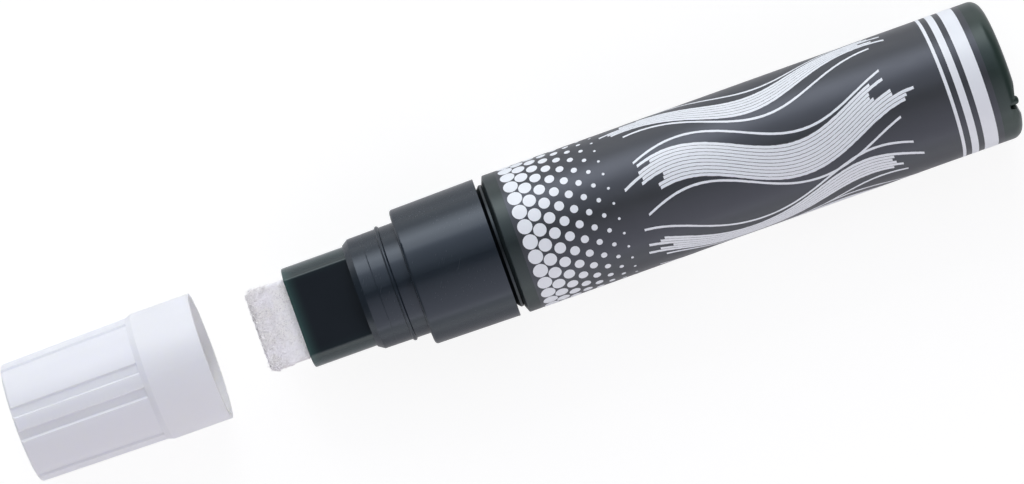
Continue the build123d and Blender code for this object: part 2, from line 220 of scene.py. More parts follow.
def moulded_white_polypropylene(name):
    """White polypropylene in a thin wall: light soaks in and spreads, over a satin skin with faint flow
    lines along the pull. The skirt is painted whiter inside, a painted glow for light through the wall."""
    made, tree, shader = blank_material(name)
    place = add(tree, "ShaderNodeTexCoord").outputs["Object"]
    clouds = add(tree, "ShaderNodeTexNoise", {"Vector": place, "Scale": per_metre(9.0), "Detail": 2.0})
    skin = add(tree, "ShaderNodeMix", {0: clouds.outputs["Fac"], 6: linear("#edeef4"), 7: linear("#f0f1f6")},
               data_type="RGBA")
    cap_middle = (cap_low + cap_high) / 2
    skirt_radius = (cap_high.z - cap_low.z) / 2
    skirt_length = 12 * MM
    outer_skin = 0.4 * MM
    from_middle = add(tree, "ShaderNodeVectorMath", {0: place, 1: cap_middle}, operation="SUBTRACT")
    across = add(tree, "ShaderNodeVectorMath", {0: from_middle.outputs["Vector"], 1: (0.0, 1.0, 1.0)},
                 operation="MULTIPLY")
    off_axis = add(tree, "ShaderNodeVectorMath", {0: across.outputs["Vector"]}, operation="LENGTH")
    hollow = add(tree, "ShaderNodeMath", {0: off_axis.outputs["Value"], 1: skirt_radius - outer_skin},
                 operation="LESS_THAN")
    along = add(tree, "ShaderNodeSeparateXYZ", {"Vector": place}).outputs["X"]
    in_skirt = add(tree, "ShaderNodeMath", {0: along, 1: cap_high.x - skirt_length},
                   operation="GREATER_THAN")
    # Painted glow: the skirt's inside is coloured whiter for light that gets through the wall
    painted_glow_inside = add(tree, "ShaderNodeMath", {0: hollow.outputs[0], 1: in_skirt.outputs[0]},
                 operation="MULTIPLY")
    tint = add(tree, "ShaderNodeMix", {0: painted_glow_inside.outputs[0], 6: skin.outputs[2], 7: linear("#fdfcff")},
               data_type="RGBA")
    drawn = add(tree, "ShaderNodeMapping", {
        "Vector": place, "Scale": (per_metre(14.0), per_metre(0.8), per_metre(0.8)),
    })
    flow = add(tree, "ShaderNodeTexNoise", {"Vector": drawn.outputs["Vector"], "Scale": 1.0, "Detail": 2.0})
    sheen = add(tree, "ShaderNodeMapRange", {
        "Value": flow.outputs["Fac"], "From Min": 0.3, "From Max": 0.7, "To Min": 0.32, "To Max": 0.42,
    })
    bump = add(tree, "ShaderNodeBump", {
        "Height": flow.outputs["Fac"], "Strength": 0.1, "Distance": 0.02 * MM,
    })
    tree.links.new(tint.outputs[2], shader.inputs["Base Color"])
    tree.links.new(sheen.outputs["Result"], shader.inputs["Roughness"])
    tree.links.new(bump.outputs["Normal"], shader.inputs["Normal"])
    shader.inputs["IOR"].default_value = 1.49
    shader.inputs["Subsurface Weight"].default_value = 0.9
    shader.inputs["Subsurface Radius"].default_value = (1.0, 1.0, 1.1)
    shader.inputs["Subsurface Scale"].default_value = 0.9 * MM
    return made


def pressed_fibre_felt(name):
    """Polyester felt, pressed and cut: a chalky white in soft clumps, lilac where it is dense, matted from
    strands that cross each other, with painted shade, greyer, in the gaps between them, and no gloss.
    The strands are drawn coarser than real fibres, so that they show."""
    made, tree, shader = blank_material(name)
    place = add(tree, "ShaderNodeTexCoord").outputs["Object"]
    clumps = add(tree, "ShaderNodeTexNoise", {"Vector": place, "Scale": per_metre(2.6), "Detail": 2.0})
    density = add(tree, "ShaderNodeMapRange", {
        "Value": clumps.outputs["Fac"], "From Min": 0.4, "From Max": 0.6,
    })
    wool = add(tree, "ShaderNodeMix", {
        0: density.outputs["Result"], 6: linear("#fefcfb"), 7: linear("#fefcff"),
    }, data_type="RGBA")
    matted = clumps.outputs["Fac"]
    for turn in (15, 75, 130):
        laid = add(tree, "ShaderNodeMapping", {
            "Vector": place,
            "Rotation": (0.0, radians(turn / 4), radians(turn)),
            "Scale": (1.3 * MM, 0.2 * MM, 0.2 * MM),
        }, vector_type="TEXTURE")
        strands = add(tree, "ShaderNodeTexNoise", {
            "Vector": laid.outputs["Vector"], "Scale": 1.0, "Detail": 1.0, "Distortion": 0.3,
        })
        matted = add(tree, "ShaderNodeMath", {0: matted, 1: strands.outputs["Fac"]},
                     operation="MAXIMUM").outputs[0]
    # Painted shade: a greyer colour in the gaps between the strands
    painted_gap_shade = add(tree, "ShaderNodeMapRange", {"Value": matted, "From Min": 0.44, "From Max": 0.55})
    tint = add(tree, "ShaderNodeMix", {0: painted_gap_shade.outputs["Result"], 6: linear("#e3e0e3"), 7: wool.outputs[2]},
               data_type="RGBA")
    bump = add(tree, "ShaderNodeBump", {"Height": matted, "Strength": 0.7, "Distance": 0.25 * MM})
    tree.links.new(tint.outputs[2], shader.inputs["Base Color"])
    tree.links.new(bump.outputs["Normal"], shader.inputs["Normal"])
    shader.inputs["Roughness"].default_value = 0.95
    shader.inputs["Specular IOR Level"].default_value = 0.2
    shader.inputs["Sheen Weight"].default_value = 0.3
    return made


def moulded_rubber(name):
    """Black moulded rubber: deep, with a faint talc bloom and the soft gloss of its wet-looking skin."""
    made, tree, shader = blank_material(name)
    place = add(tree, "ShaderNodeTexCoord").outputs["Object"]
    bloom = add(tree, "ShaderNodeTexNoise", {"Vector": place, "Scale": per_metre(0.5), "Detail": 3.0})
    tint = add(tree, "ShaderNodeMix", {0: bloom.outputs["Fac"], 6: linear("#0b0d0f"), 7: linear("#14181b")},
               data_type="RGBA")
    bump = add(tree, "ShaderNodeBump", {
        "Height": bloom.outputs["Fac"], "Strength": 0.2, "Distance": 0.02 * MM,
    })
    tree.links.new(tint.outputs[2], shader.inputs["Base Color"])
    tree.links.new(bump.outputs["Normal"], shader.inputs["Normal"])
    shader.inputs["Roughness"].default_value = 0.3
    shader.inputs["Specular Tint"].default_value = linear("#d8e8f0")
    return made


def moulded_natural_polyethylene(name):
    """Unpigmented polyethylene: milky, waxy and a little see-through in a thin wall."""
    made, tree, shader = blank_material(name)
    place = add(tree, "ShaderNodeTexCoord").outputs["Object"]
    haze = add(tree, "ShaderNodeTexNoise", {"Vector": place, "Scale": per_metre(2.5), "Detail": 2.0})
    tint = add(tree, "ShaderNodeMix", {0: haze.outputs["Fac"], 6: linear("#d9d8d0"), 7: linear("#e6e5df")},
               data_type="RGBA")
    sheen = add(tree, "ShaderNodeMapRange", {"Value": haze.outputs["Fac"], "To Min": 0.38, "To Max": 0.5})
    tree.links.new(tint.outputs[2], shader.inputs["Base Color"])
    tree.links.new(sheen.outputs["Result"], shader.inputs["Roughness"])
    shader.inputs["IOR"].default_value = 1.51
    shader.inputs["Subsurface Weight"].default_value = 0.3
    shader.inputs["Subsurface Scale"].default_value = 1.0 * MM
    return made


def stainless_steel(name, mark_size, smoothest, roughest):
    """Stainless steel that was drawn or ground: bright, with marks as fine as the process leaves them."""
    made, tree, shader = blank_material(name)
    place = add(tree, "ShaderNodeTexCoord").outputs["Object"]
    marks = add(tree, "ShaderNodeTexNoise", {"Vector": place, "Scale": per_metre(mark_size), "Detail": 3.0})
    tint = add(tree, "ShaderNodeMix", {0: marks.outputs["Fac"], 6: linear("#b4b6b9"), 7: linear("#cfd0d2")},
               data_type="RGBA")
    polish = add(tree, "ShaderNodeMapRange", {
        "Value": marks.outputs["Fac"], "From Min": 0.3, "From Max": 0.7,
        "To Min": smoothest, "To Max": roughest,
    })
    tree.links.new(tint.outputs[2], shader.inputs["Base Color"])
    tree.links.new(polish.outputs["Result"], shader.inputs["Roughness"])
    shader.inputs["Metallic"].default_value = 1.0
    return made


# Painted glow where thin walls let light through: how far it reaches in from the barrel's tail and from
# the holder's lip, and between which distances from the axis it fades on the holder's two sides
tail_painted_glow_length = 9 * MM
lip_painted_glow_length = 2.6 * MM
side_glow_brightest = 9 * MM
side_glow_from = 5.4 * MM

nose_plastic = moulded_dark_polypropylene(
    "blue_black_moulded_polypropylene", colour="#1a222b", cloud_colour="#20282f", roughness=0.235,
    shine="#e8f2ff", painted_glow_places=[])
# The barrel's tail and the holder's lip and sides get a painted greener glow for light through the wall
barrel_plastic = moulded_dark_polypropylene(
    "green_black_moulded_polypropylene", colour="#232b2d", cloud_colour="#283032", roughness=0.31,
    shine="#e8f6f4", painted_glow_places=[("X", barrel_high.x, barrel_high.x - tail_painted_glow_length, "#2b3a34")])
holder_plastic = moulded_dark_polypropylene(
    "green_black_polished_polypropylene", colour="#1c2127", cloud_colour="#1f242b", roughness=0.14,
    shine="#eaf6f4", painted_glow_places=[
        ("Y", -side_glow_brightest, -side_glow_from, "#2c3d3e"),
        ("Y", side_glow_brightest, side_glow_from, "#2c3d3e"),
        ("X", holder_front, holder_front + lip_painted_glow_length, "#3b5452"),
    ])
label_ground = printed_film(
    "charcoal_printed_film", colour="#3c3e41", ink_colour="#414346", roughness=0.31, shine="#e4ebff")
label_white = printed_film(
    "white_printed_film", colour="#eff3f8", ink_colour="#f2f5fa", roughness=0.33, shine="#ffffff")
cap_plastic = moulded_white_polypropylene("white_moulded_polypropylene")
nib_felt = pressed_fibre_felt("pressed_polyester_felt")
gasket_rubber = moulded_rubber("black_moulded_rubber")
valve_plastic = moulded_natural_polyethylene("natural_moulded_polyethylene")
spring_steel = stainless_steel("drawn_stainless_wire", mark_size=0.2, smoothest=0.22, roughest=0.34)
ball_steel = stainless_steel("ground_stainless_ball", mark_size=0.6, smoothest=0.06, roughest=0.12)

node_materials = {
    "barrel": barrel_plastic,
    "label": label_ground,
    "barrel_gasket": gasket_rubber,
    "nose": nose_plastic,
    "nib_holder": holder_plastic,
    "valve_seat": valve_plastic,
    "valve_stem": valve_plastic,
    "valve_seal": gasket_rubber,
    "valve_cage": valve_plastic,
    "valve_spring": spring_steel,
    "mixing_ball": ball_steel,
    "cap": cap_plastic,
}
for node_name, finish in node_materials.items():
    nodes[node_name].data.materials.clear()
    nodes[node_name].data.materials.append(finish)


# Label print: strokes, a halftone fade and stripes, each a thin closed layer of ink on the film

ink_layer = 0.04 * MM       # half of it sinks into the film
ink_sizes = {
    "Radius": "NodeSocketFloat",
    "Axis height": "NodeSocketFloat",
    "Start": "NodeSocketFloat",
    "Turn": "NodeSocketFloat",
    "Ink": "NodeSocketFloat",
    "Material": "NodeSocketMaterial",
}
label_place = {"Radius": barrel_radius, "Axis height": axis_height, "Ink": ink_layer}


def wrap_round_barrel(tree, flat, along, around, outwards, sizes):
    """Lays flat ink on the barrel, from the sockets that say how far along, round and out from it each
    point is. Its instances are realized before this, so that each point bends round by itself."""
    reach = add(tree, "ShaderNodeMath", {0: sizes["Radius"], 1: outwards}, operation="ADD").outputs[0]
    arc = add(tree, "ShaderNodeMath", {0: around, 1: sizes["Radius"]}, operation="DIVIDE").outputs[0]
    angle = add(tree, "ShaderNodeMath", {0: arc, 1: sizes["Turn"]}, operation="ADD").outputs[0]
    sine = add(tree, "ShaderNodeMath", {0: angle}, operation="SINE").outputs[0]
    cosine = add(tree, "ShaderNodeMath", {0: angle}, operation="COSINE").outputs[0]
    across = add(tree, "ShaderNodeMath", {0: reach, 1: sine}, operation="MULTIPLY").outputs[0]
    up = add(tree, "ShaderNodeMath", {0: reach, 1: cosine, 2: sizes["Axis height"]},
             operation="MULTIPLY_ADD").outputs[0]
    lengthwise = add(tree, "ShaderNodeMath", {0: along, 1: sizes["Start"]}, operation="ADD").outputs[0]
    place = add(tree, "ShaderNodeCombineXYZ", {"X": lengthwise, "Y": across, "Z": up})
    laid = add(tree, "GeometryNodeSetPosition", {"Geometry": flat, "Position": place.outputs["Vector"]})
    inked = add(tree, "GeometryNodeSetMaterial", {
        "Geometry": laid.outputs["Geometry"], "Material": sizes["Material"],
    })
    add(tree, "NodeGroupOutput", {"Geometry": inked.outputs["Geometry"]})


def stroke_tree():
    """A chalk stroke: strands side by side that start and stop at random and follow one wave."""
    tree, sizes = blank_tree("chalk_stroke", {
        "Strands": "NodeSocketInt",
        "Strand pitch": "NodeSocketFloat",
        "Strand width": "NodeSocketFloat",
        "Length": "NodeSocketFloat",
        "Ragged share": "NodeSocketFloat",
        "Edge wander": "NodeSocketFloat",
        "Grain": "NodeSocketFloat",
        "Steps along": "NodeSocketInt",
        "Steps across": "NodeSocketInt",
        "Wave height": "NodeSocketFloat",
        "Wave turns": "NodeSocketFloat",
        "Phase": "NodeSocketFloat",
        "Seed": "NodeSocketInt",
        **ink_sizes,
    })
    spare = add(tree, "ShaderNodeMath", {0: sizes["Strands"], 1: 1.0}, operation="SUBTRACT").outputs[0]
    breadth = add(tree, "ShaderNodeMath", {0: spare, 1: sizes["Strand pitch"]},
                  operation="MULTIPLY").outputs[0]
    first = add(tree, "ShaderNodeMath", {0: breadth, 1: -0.5}, operation="MULTIPLY").outputs[0]
    rows = add(tree, "GeometryNodeMeshLine", {
        "Count": sizes["Strands"],
        "Start Location": add(tree, "ShaderNodeCombineXYZ", {"Y": first}).outputs["Vector"],
        "Offset": add(tree, "ShaderNodeCombineXYZ", {"Y": sizes["Strand pitch"]}).outputs["Vector"],
    })
    later_seed = add(tree, "ShaderNodeMath", {0: sizes["Seed"], 1: 1.0}, operation="ADD").outputs[0]
    late = add(tree, "FunctionNodeRandomValue", {3: sizes["Ragged share"], "Seed": sizes["Seed"]}).outputs[1]
    early = add(tree, "FunctionNodeRandomValue", {3: sizes["Ragged share"], "Seed": later_seed}).outputs[1]
    lost = add(tree, "ShaderNodeMath", {0: late, 1: early}, operation="ADD").outputs[0]
    kept = add(tree, "ShaderNodeMath", {0: 1.0, 1: lost}, operation="SUBTRACT").outputs[0]
    delay = add(tree, "ShaderNodeMath", {0: late, 1: sizes["Length"]}, operation="MULTIPLY").outputs[0]
    run = add(tree, "ShaderNodeMath", {0: kept, 1: sizes["Length"]}, operation="MULTIPLY").outputs[0]
    starts = add(tree, "GeometryNodeSetPosition", {
        "Geometry": rows.outputs["Mesh"],
        "Offset": add(tree, "ShaderNodeCombineXYZ", {"X": delay}).outputs["Vector"],
    })
    bar = add(tree, "GeometryNodeMeshCube", {
        "Vertices X": sizes["Steps along"], "Vertices Y": sizes["Steps across"], "Vertices Z": 2,
    })
    strand = add(tree, "GeometryNodeSetPosition", {
        "Geometry": bar.outputs["Mesh"], "Offset": (0.5, 0.0, 0.0),
    })
    strands = add(tree, "GeometryNodeInstanceOnPoints", {
        "Points": starts.outputs["Geometry"],
        "Instance": strand.outputs["Geometry"],
        "Scale": add(tree, "ShaderNodeCombineXYZ", {
            "X": run, "Y": sizes["Strand width"], "Z": sizes["Ink"],
        }).outputs["Vector"],
    })
    flat = add(tree, "GeometryNodeRealizeInstances", {"Geometry": strands.outputs["Instances"]})
    place = add(tree, "GeometryNodeInputPosition").outputs["Position"]
    apart = add(tree, "ShaderNodeSeparateXYZ", {"Vector": place}).outputs
    from_start = add(tree, "ShaderNodeMath", {0: apart["X"], 1: sizes["Length"]},
                     operation="DIVIDE").outputs[0]
    swing = add(tree, "ShaderNodeMath", {0: from_start, 1: sizes["Wave turns"], 2: sizes["Phase"]},
                operation="MULTIPLY_ADD").outputs[0]
    swing_angle = add(tree, "ShaderNodeMath", {0: swing, 1: 2 * pi}, operation="MULTIPLY").outputs[0]
    wave = add(tree, "ShaderNodeMath", {0: swing_angle}, operation="SINE").outputs[0]
    grain = add(tree, "ShaderNodeTexNoise", {
        "Vector": place, "Scale": sizes["Grain"], "Detail": 2.0,
    }).outputs["Fac"]
    uneven = add(tree, "ShaderNodeMath", {0: grain, 1: 0.5}, operation="SUBTRACT").outputs[0]
    waved = add(tree, "ShaderNodeMath", {0: wave, 1: sizes["Wave height"], 2: apart["Y"]},
                operation="MULTIPLY_ADD").outputs[0]
    around = add(tree, "ShaderNodeMath", {0: uneven, 1: sizes["Edge wander"], 2: waved},
                 operation="MULTIPLY_ADD").outputs[0]
    wrap_round_barrel(tree, flat.outputs["Geometry"], apart["X"], around, apart["Z"], sizes)
    return tree


def halftone_tree():
    """A halftone fade: staggered rows of round dots that shrink along the barrel."""
    tree, sizes = blank_tree("halftone_fade", {
        "Rows": "NodeSocketInt",
        "Columns": "NodeSocketInt",
        "Row pitch": "NodeSocketFloat",
        "Column pitch": "NodeSocketFloat",
        "First radius": "NodeSocketFloat",
        "Last radius": "NodeSocketFloat",
        **ink_sizes,
    })
    gaps_along = add(tree, "ShaderNodeMath", {0: sizes["Columns"], 1: 1.0}, operation="SUBTRACT").outputs[0]
    gaps_round = add(tree, "ShaderNodeMath", {0: sizes["Rows"], 1: 1.0}, operation="SUBTRACT").outputs[0]
    field_length = add(tree, "ShaderNodeMath", {0: gaps_along, 1: sizes["Column pitch"]},
                       operation="MULTIPLY").outputs[0]
    field_width = add(tree, "ShaderNodeMath", {0: gaps_round, 1: sizes["Row pitch"]},
                      operation="MULTIPLY").outputs[0]
    grid = add(tree, "GeometryNodeMeshGrid", {
        "Size X": field_length, "Size Y": field_width,
        "Vertices X": sizes["Columns"], "Vertices Y": sizes["Rows"],
    })
    centred = add(tree, "ShaderNodeSeparateXYZ", {
        "Vector": add(tree, "GeometryNodeInputPosition").outputs["Position"],
    }).outputs["X"]
    share = add(tree, "ShaderNodeMath", {0: centred, 1: field_length}, operation="DIVIDE").outputs[0]
    passed = add(tree, "ShaderNodeMath", {0: share, 1: 0.5}, operation="ADD").outputs[0]
    column = add(tree, "ShaderNodeMath", {0: passed, 1: gaps_along}, operation="MULTIPLY").outputs[0]
    whole = add(tree, "ShaderNodeMath", {0: column}, operation="ROUND").outputs[0]
    odd = add(tree, "ShaderNodeMath", {0: whole, 1: 2.0}, operation="MODULO").outputs[0]
    half_row = add(tree, "ShaderNodeMath", {0: odd, 1: 0.5}, operation="MULTIPLY").outputs[0]
    shift = add(tree, "ShaderNodeMath", {0: half_row, 1: sizes["Row pitch"]},
                operation="MULTIPLY").outputs[0]
    places = add(tree, "GeometryNodeSetPosition", {
        "Geometry": grid.outputs["Mesh"],
        "Offset": add(tree, "ShaderNodeCombineXYZ", {"Y": shift}).outputs["Vector"],
    })
    size = add(tree, "ShaderNodeMapRange", {
        "Value": share, "From Min": -0.5, "From Max": 0.5,
        "To Min": sizes["First radius"], "To Max": sizes["Last radius"],
    }).outputs["Result"]
    dot = add(tree, "GeometryNodeMeshCylinder", {"Vertices": 20, "Radius": 1.0, "Depth": 1.0},
              fill_type="TRIANGLE_FAN")
    dots = add(tree, "GeometryNodeInstanceOnPoints", {
        "Points": places.outputs["Geometry"],
        "Instance": dot.outputs["Mesh"],
        "Scale": add(tree, "ShaderNodeCombineXYZ", {
            "X": size, "Y": size, "Z": sizes["Ink"],
        }).outputs["Vector"],
    })
    flat = add(tree, "GeometryNodeRealizeInstances", {"Geometry": dots.outputs["Instances"]})
    apart = add(tree, "ShaderNodeSeparateXYZ", {
        "Vector": add(tree, "GeometryNodeInputPosition").outputs["Position"],
    }).outputs
    wrap_round_barrel(tree, flat.outputs["Geometry"], apart["X"], apart["Y"], apart["Z"], sizes)
    return tree


chalk_stroke = stroke_tree()
halftone_fade = halftone_tree()


def printed(name, pieces):
    """One ink layer from its pieces, riding on the pen's body."""
    layer = joined(name, pieces)
    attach(layer, "pen_body")


wave_height = 3.4 * MM
wavelength = 44.0 * MM
strand_pitch = 0.66 * MM
strokes_start = label_low.x + 19.0 * MM
strokes_length = 56.0 * MM
stroke_turns = (0, 58, -58, -106, 178)      # degrees from the top towards +Y
stroke_strands = (10, 6, 6, 10, 6)
phase_step = 0.13                           # of a wave, from one stroke to the next
line_gap = 1.5 * MM                         # between a stroke and the thin lines beside it
line_inset = 2 * MM                         # a thin line is shorter than its stroke by this at each end
first_line_seed = 10


def chalk(turn, start, length, phase, seed, strands, strand_width, ragged_share, edge_wander):
    """A stroke along the barrel, at this turn in degrees from the top towards +Y. One strand is a thin
    line."""
    return grown(f"chalk_{seed}", chalk_stroke, {
        **label_place,
        "Strands": strands, "Strand pitch": strand_pitch, "Strand width": strand_width,
        "Length": length, "Ragged share": ragged_share, "Edge wander": edge_wander,
        "Grain": per_metre(0.7), "Steps along": 130, "Steps across": 2,
        "Wave height": wave_height, "Wave turns": length / wavelength, "Phase": phase,
        "Start": start, "Turn": radians(turn), "Seed": seed, "Material": label_white,
    })


strokes = []
for number, (turn, strands) in enumerate(zip(stroke_turns, stroke_strands)):
    phase = phase_step * number
    strokes.append(chalk(
        turn, strokes_start, strokes_length, phase, seed=number,
        strands=strands, strand_width=0.56 * MM, ragged_share=0.16, edge_wander=0.22 * MM))
    reach = strands * strand_pitch / 2 + line_gap
    for side in (-1, 1):
        beside = turn + side * degrees(reach / barrel_radius)
        strokes.append(chalk(
            beside, strokes_start + line_inset, strokes_length - 2 * line_inset, phase,
            seed=first_line_seed + 2 * number + side,
            strands=1, strand_width=0.45 * MM, ragged_share=0.08, edge_wander=0.12 * MM))
printed("label_strokes", strokes)

dot_rows = 27
dot_columns = 8
dot_column_pitch = 2.3 * MM
dot_row_pitch = 2.85 * MM
fade_margin = 1.9 * MM
fade_middle = label_low.x + fade_margin + (dot_columns - 1) / 2 * dot_column_pitch
fade_turn = 33              # degrees from the top, so that the gap in the rows is at the label's seam
printed("label_dots", [grown("dots", halftone_fade, {
    **label_place,
    "Rows": dot_rows, "Columns": dot_columns, "Row pitch": dot_row_pitch, "Column pitch": dot_column_pitch,
    "First radius": 1.35 * MM, "Last radius": 0.25 * MM,
    "Start": fade_middle, "Turn": radians(fade_turn), "Material": label_white,
})])

stripe_margin = 1.2 * MM
stripe_gap = 1.1 * MM
stripe_widths = (2.6 * MM, 1.3 * MM, 0.6 * MM)
stripe_round = 78.6 * MM    # nearly once round the barrel
stripe_turn = 35            # degrees from the top to the stripes' middle, so that the seam stays bare
stripes = []
stripe_start = label_high.x - stripe_margin
for number, stripe_width in enumerate(stripe_widths):
    stripe_start -= stripe_width
    stripes.append(grown(f"stripe_{number}", chalk_stroke, {
        **label_place,
        "Strands": 1, "Strand pitch": 0.0, "Strand width": stripe_round,
        "Length": stripe_width, "Ragged share": 0.0, "Edge wander": 0.0, "Grain": 1.0,
        "Steps along": 2, "Steps across": 180,
        "Wave height": 0.0, "Wave turns": 0.0, "Phase": 0.0,
        "Start": stripe_start, "Turn": radians(stripe_turn), "Seed": number, "Material": label_white,
    }))
    stripe_start -= stripe_gap
printed("label_stripes", stripes)


# Felt nib: a pressed block with a fibrous skin

def rise(edge):
    """How far the two ends of an edge differ in height."""
    return abs(edge.verts[0].co.z - edge.verts[1].co.z)


def felt_block():
    """The nib's block with its bevels, as an even mesh fine enough to take the felt's pits."""
    skin = 0.04 * MM            # how far it stays inside the solid
    corner_cut = 0.8 * MM
    rim_round = 0.55 * MM
    mesh_step = 0.22 * MM
    sliver = 0.01 * MM          # less than any two edges that differ lie apart
    block = bmesh.new()
    bmesh.ops.create_cube(block, size=1.0)
    for corner in block.verts:
        for axis in range(3):
            middle = (nib_low[axis] + nib_high[axis]) / 2
            corner.co[axis] = middle + corner.co[axis] * (nib_high[axis] - nib_low[axis] - 2 * skin)
    front = nib_low.x + skin + sliver
    upright = [edge for edge in block.edges if rise(edge) > sliver]
    corners = [edge for edge in upright if max(end.co.x for end in edge.verts) < front]
    bmesh.ops.bevel(block, geom=corners, offset=corner_cut, segments=1, affect="EDGES")
    back = nib_high.x - skin - sliver
    level = [edge for edge in block.edges if rise(edge) < sliver]
    rims = [edge for edge in level if min(end.co.x for end in edge.verts) < back]
    bmesh.ops.bevel(block, geom=rims, offset=rim_round, segments=2, profile=0.5, affect="EDGES")
    mesh = bpy.data.meshes.new("felt_block")
    block.to_mesh(mesh)
    block.free()
    rough = bpy.data.objects.new("felt_block", mesh)
    bpy.context.scene.collection.objects.link(rough)
    remesh = rough.modifiers.new("even", "REMESH")
    remesh.mode = "VOXEL"
    remesh.voxel_size = mesh_step
    depsgraph = bpy.context.evaluated_depsgraph_get()
    even = bpy.data.meshes.new_from_object(rough.evaluated_get(depsgraph), depsgraph=depsgraph)
    bpy.data.objects.remove(rough)
    return even


def felt_tree():
    """Pits pressed into the block, and short fibres that lie on the part that shows."""
    tree, sizes = blank_tree("felt_skin", {
        "Pit depth": "NodeSocketFloat",
        "Pit scale": "NodeSocketFloat",
        "Fibre end": "NodeSocketFloat",
        "Fibres": "NodeSocketFloat",
        "Fibre length": "NodeSocketFloat",
        "Fibre radius": "NodeSocketFloat",
        "Fibre bow": "NodeSocketFloat",
        "Seed": "NodeSocketInt",
        "Material": "NodeSocketMaterial",
    })
    place = add(tree, "GeometryNodeInputPosition").outputs["Position"]
    pits = add(tree, "ShaderNodeTexNoise", {
        "Vector": place, "Scale": sizes["Pit scale"], "Detail": 3.0, "Roughness": 0.6,
    }).outputs["Fac"]
    depth = add(tree, "ShaderNodeMapRange", {
        "Value": pits, "From Min": 0.3, "From Max": 0.62, "To Min": -1.0, "To Max": 0.0,
    }).outputs["Result"]
    inwards = add(tree, "ShaderNodeMath", {0: depth, 1: sizes["Pit depth"]}, operation="MULTIPLY").outputs[0]
    offset = add(tree, "ShaderNodeVectorMath", {
        0: add(tree, "GeometryNodeInputNormal").outputs["Normal"], "Scale": inwards,
    }, operation="SCALE").outputs["Vector"]
    pitted = add(tree, "GeometryNodeSetPosition", {"Geometry": sizes["Geometry"], "Offset": offset})
    along = add(tree, "ShaderNodeSeparateXYZ", {"Vector": place}).outputs["X"]
    shows = add(tree, "ShaderNodeMath", {0: along, 1: sizes["Fibre end"]}, operation="LESS_THAN").outputs[0]
    roots = add(tree, "GeometryNodeDistributePointsOnFaces", {
        "Mesh": pitted.outputs["Geometry"], "Selection": shows,
        "Density": sizes["Fibres"], "Seed": sizes["Seed"],
    })
    shaft = add(tree, "GeometryNodeMeshCylinder", {
        "Vertices": 3, "Side Segments": 4, "Radius": 1.0, "Depth": 1.0,
    })
    upright = add(tree, "ShaderNodeSeparateXYZ", {
        "Vector": add(tree, "GeometryNodeInputPosition").outputs["Position"],
    }).outputs["Z"]
    bow = add(tree, "ShaderNodeMath", {0: upright, 1: 2.0}, operation="POWER").outputs[0]
    bend = add(tree, "ShaderNodeMath", {0: bow, 1: sizes["Fibre bow"]}, operation="MULTIPLY").outputs[0]
    fibre = add(tree, "GeometryNodeSetPosition", {
        "Geometry": shaft.outputs["Mesh"],
        "Offset": add(tree, "ShaderNodeCombineXYZ", {"X": bend}).outputs["Vector"],
    })
    spin = add(tree, "FunctionNodeRandomValue", {2: 0.0, 3: 2 * pi, "Seed": 3}).outputs[1]
    lean = add(tree, "FunctionNodeRandomValue", {2: radians(82), 3: radians(96), "Seed": 4}).outputs[1]
    turned = add(tree, "FunctionNodeRotateRotation", {
        "Rotation": roots.outputs["Rotation"],
        "Rotate By": add(tree, "ShaderNodeCombineXYZ", {"X": lean, "Z": spin}).outputs["Vector"],
    }, rotation_space="LOCAL").outputs["Rotation"]
    stretch = add(tree, "FunctionNodeRandomValue", {2: 0.5, 3: 1.0, "Seed": 5}).outputs[1]
    reach = add(tree, "ShaderNodeMath", {0: stretch, 1: sizes["Fibre length"]},
                operation="MULTIPLY").outputs[0]
    fibres = add(tree, "GeometryNodeInstanceOnPoints", {
        "Points": roots.outputs["Points"],
        "Instance": fibre.outputs["Geometry"],
        "Rotation": turned,
        "Scale": add(tree, "ShaderNodeCombineXYZ", {
            "X": sizes["Fibre radius"], "Y": sizes["Fibre radius"], "Z": reach,
        }).outputs["Vector"],
    })
    loose = add(tree, "GeometryNodeRealizeInstances", {"Geometry": fibres.outputs["Instances"]})
    both = add(tree, "GeometryNodeJoinGeometry")
    tree.links.new(pitted.outputs["Geometry"], both.inputs["Geometry"])
    tree.links.new(loose.outputs["Geometry"], both.inputs["Geometry"])
    felt = add(tree, "GeometryNodeSetMaterial", {
        "Geometry": both.outputs["Geometry"], "Material": sizes["Material"],
    })
    add(tree, "NodeGroupOutput", {"Geometry": felt.outputs["Geometry"]})
    return tree


nib_travel = 2.5 * MM       # how far pressing moves the nib and the valve
fibre_margin = 0.9 * MM     # keeps the loose fibres out of the holder's slot when the nib is pressed
fibres_per_square_mm = 7
fibre_bow = 14.0            # in fibre radii: the two ends bend aside by a quarter of this
felt_nib = grown("felt_nib", felt_tree(), {
    "Pit depth": 0.12 * MM, "Pit scale": per_metre(0.7),
    "Fibre end": holder_front - nib_travel - fibre_margin, "Fibres": fibres_per_square_mm / MM ** 2,
    "Fibre length": 1.6 * MM, "Fibre radius": 0.05 * MM, "Fibre bow": fibre_bow, "Seed": 7,
    "Material": nib_felt,
}, start=felt_block())
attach(felt_nib, "nib")
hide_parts("nib")

# Valve spring: a copy of the spring with a mesh of its own, riding on the pen's body

coil_spring = bpy.data.objects.new("coil_spring", nodes["valve_spring"].data.copy())
bpy.context.scene.collection.objects.link(coil_spring)
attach(coil_spring, "pen_body")
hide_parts("valve_spring")
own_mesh(coil_spring)

# Floor, light and camera

floor_size = 6.0
half = floor_size / 2
floor_corners = [(-half, -half, 0), (half, -half, 0), (half, half, 0), (-half, half, 0)]
floor_mesh = bpy.data.meshes.new("floor")
floor_mesh.from_pydata(floor_corners, [], [(0, 1, 2, 3)])
floor = bpy.data.objects.new("floor", floor_mesh)
bpy.context.scene.collection.objects.link(floor)

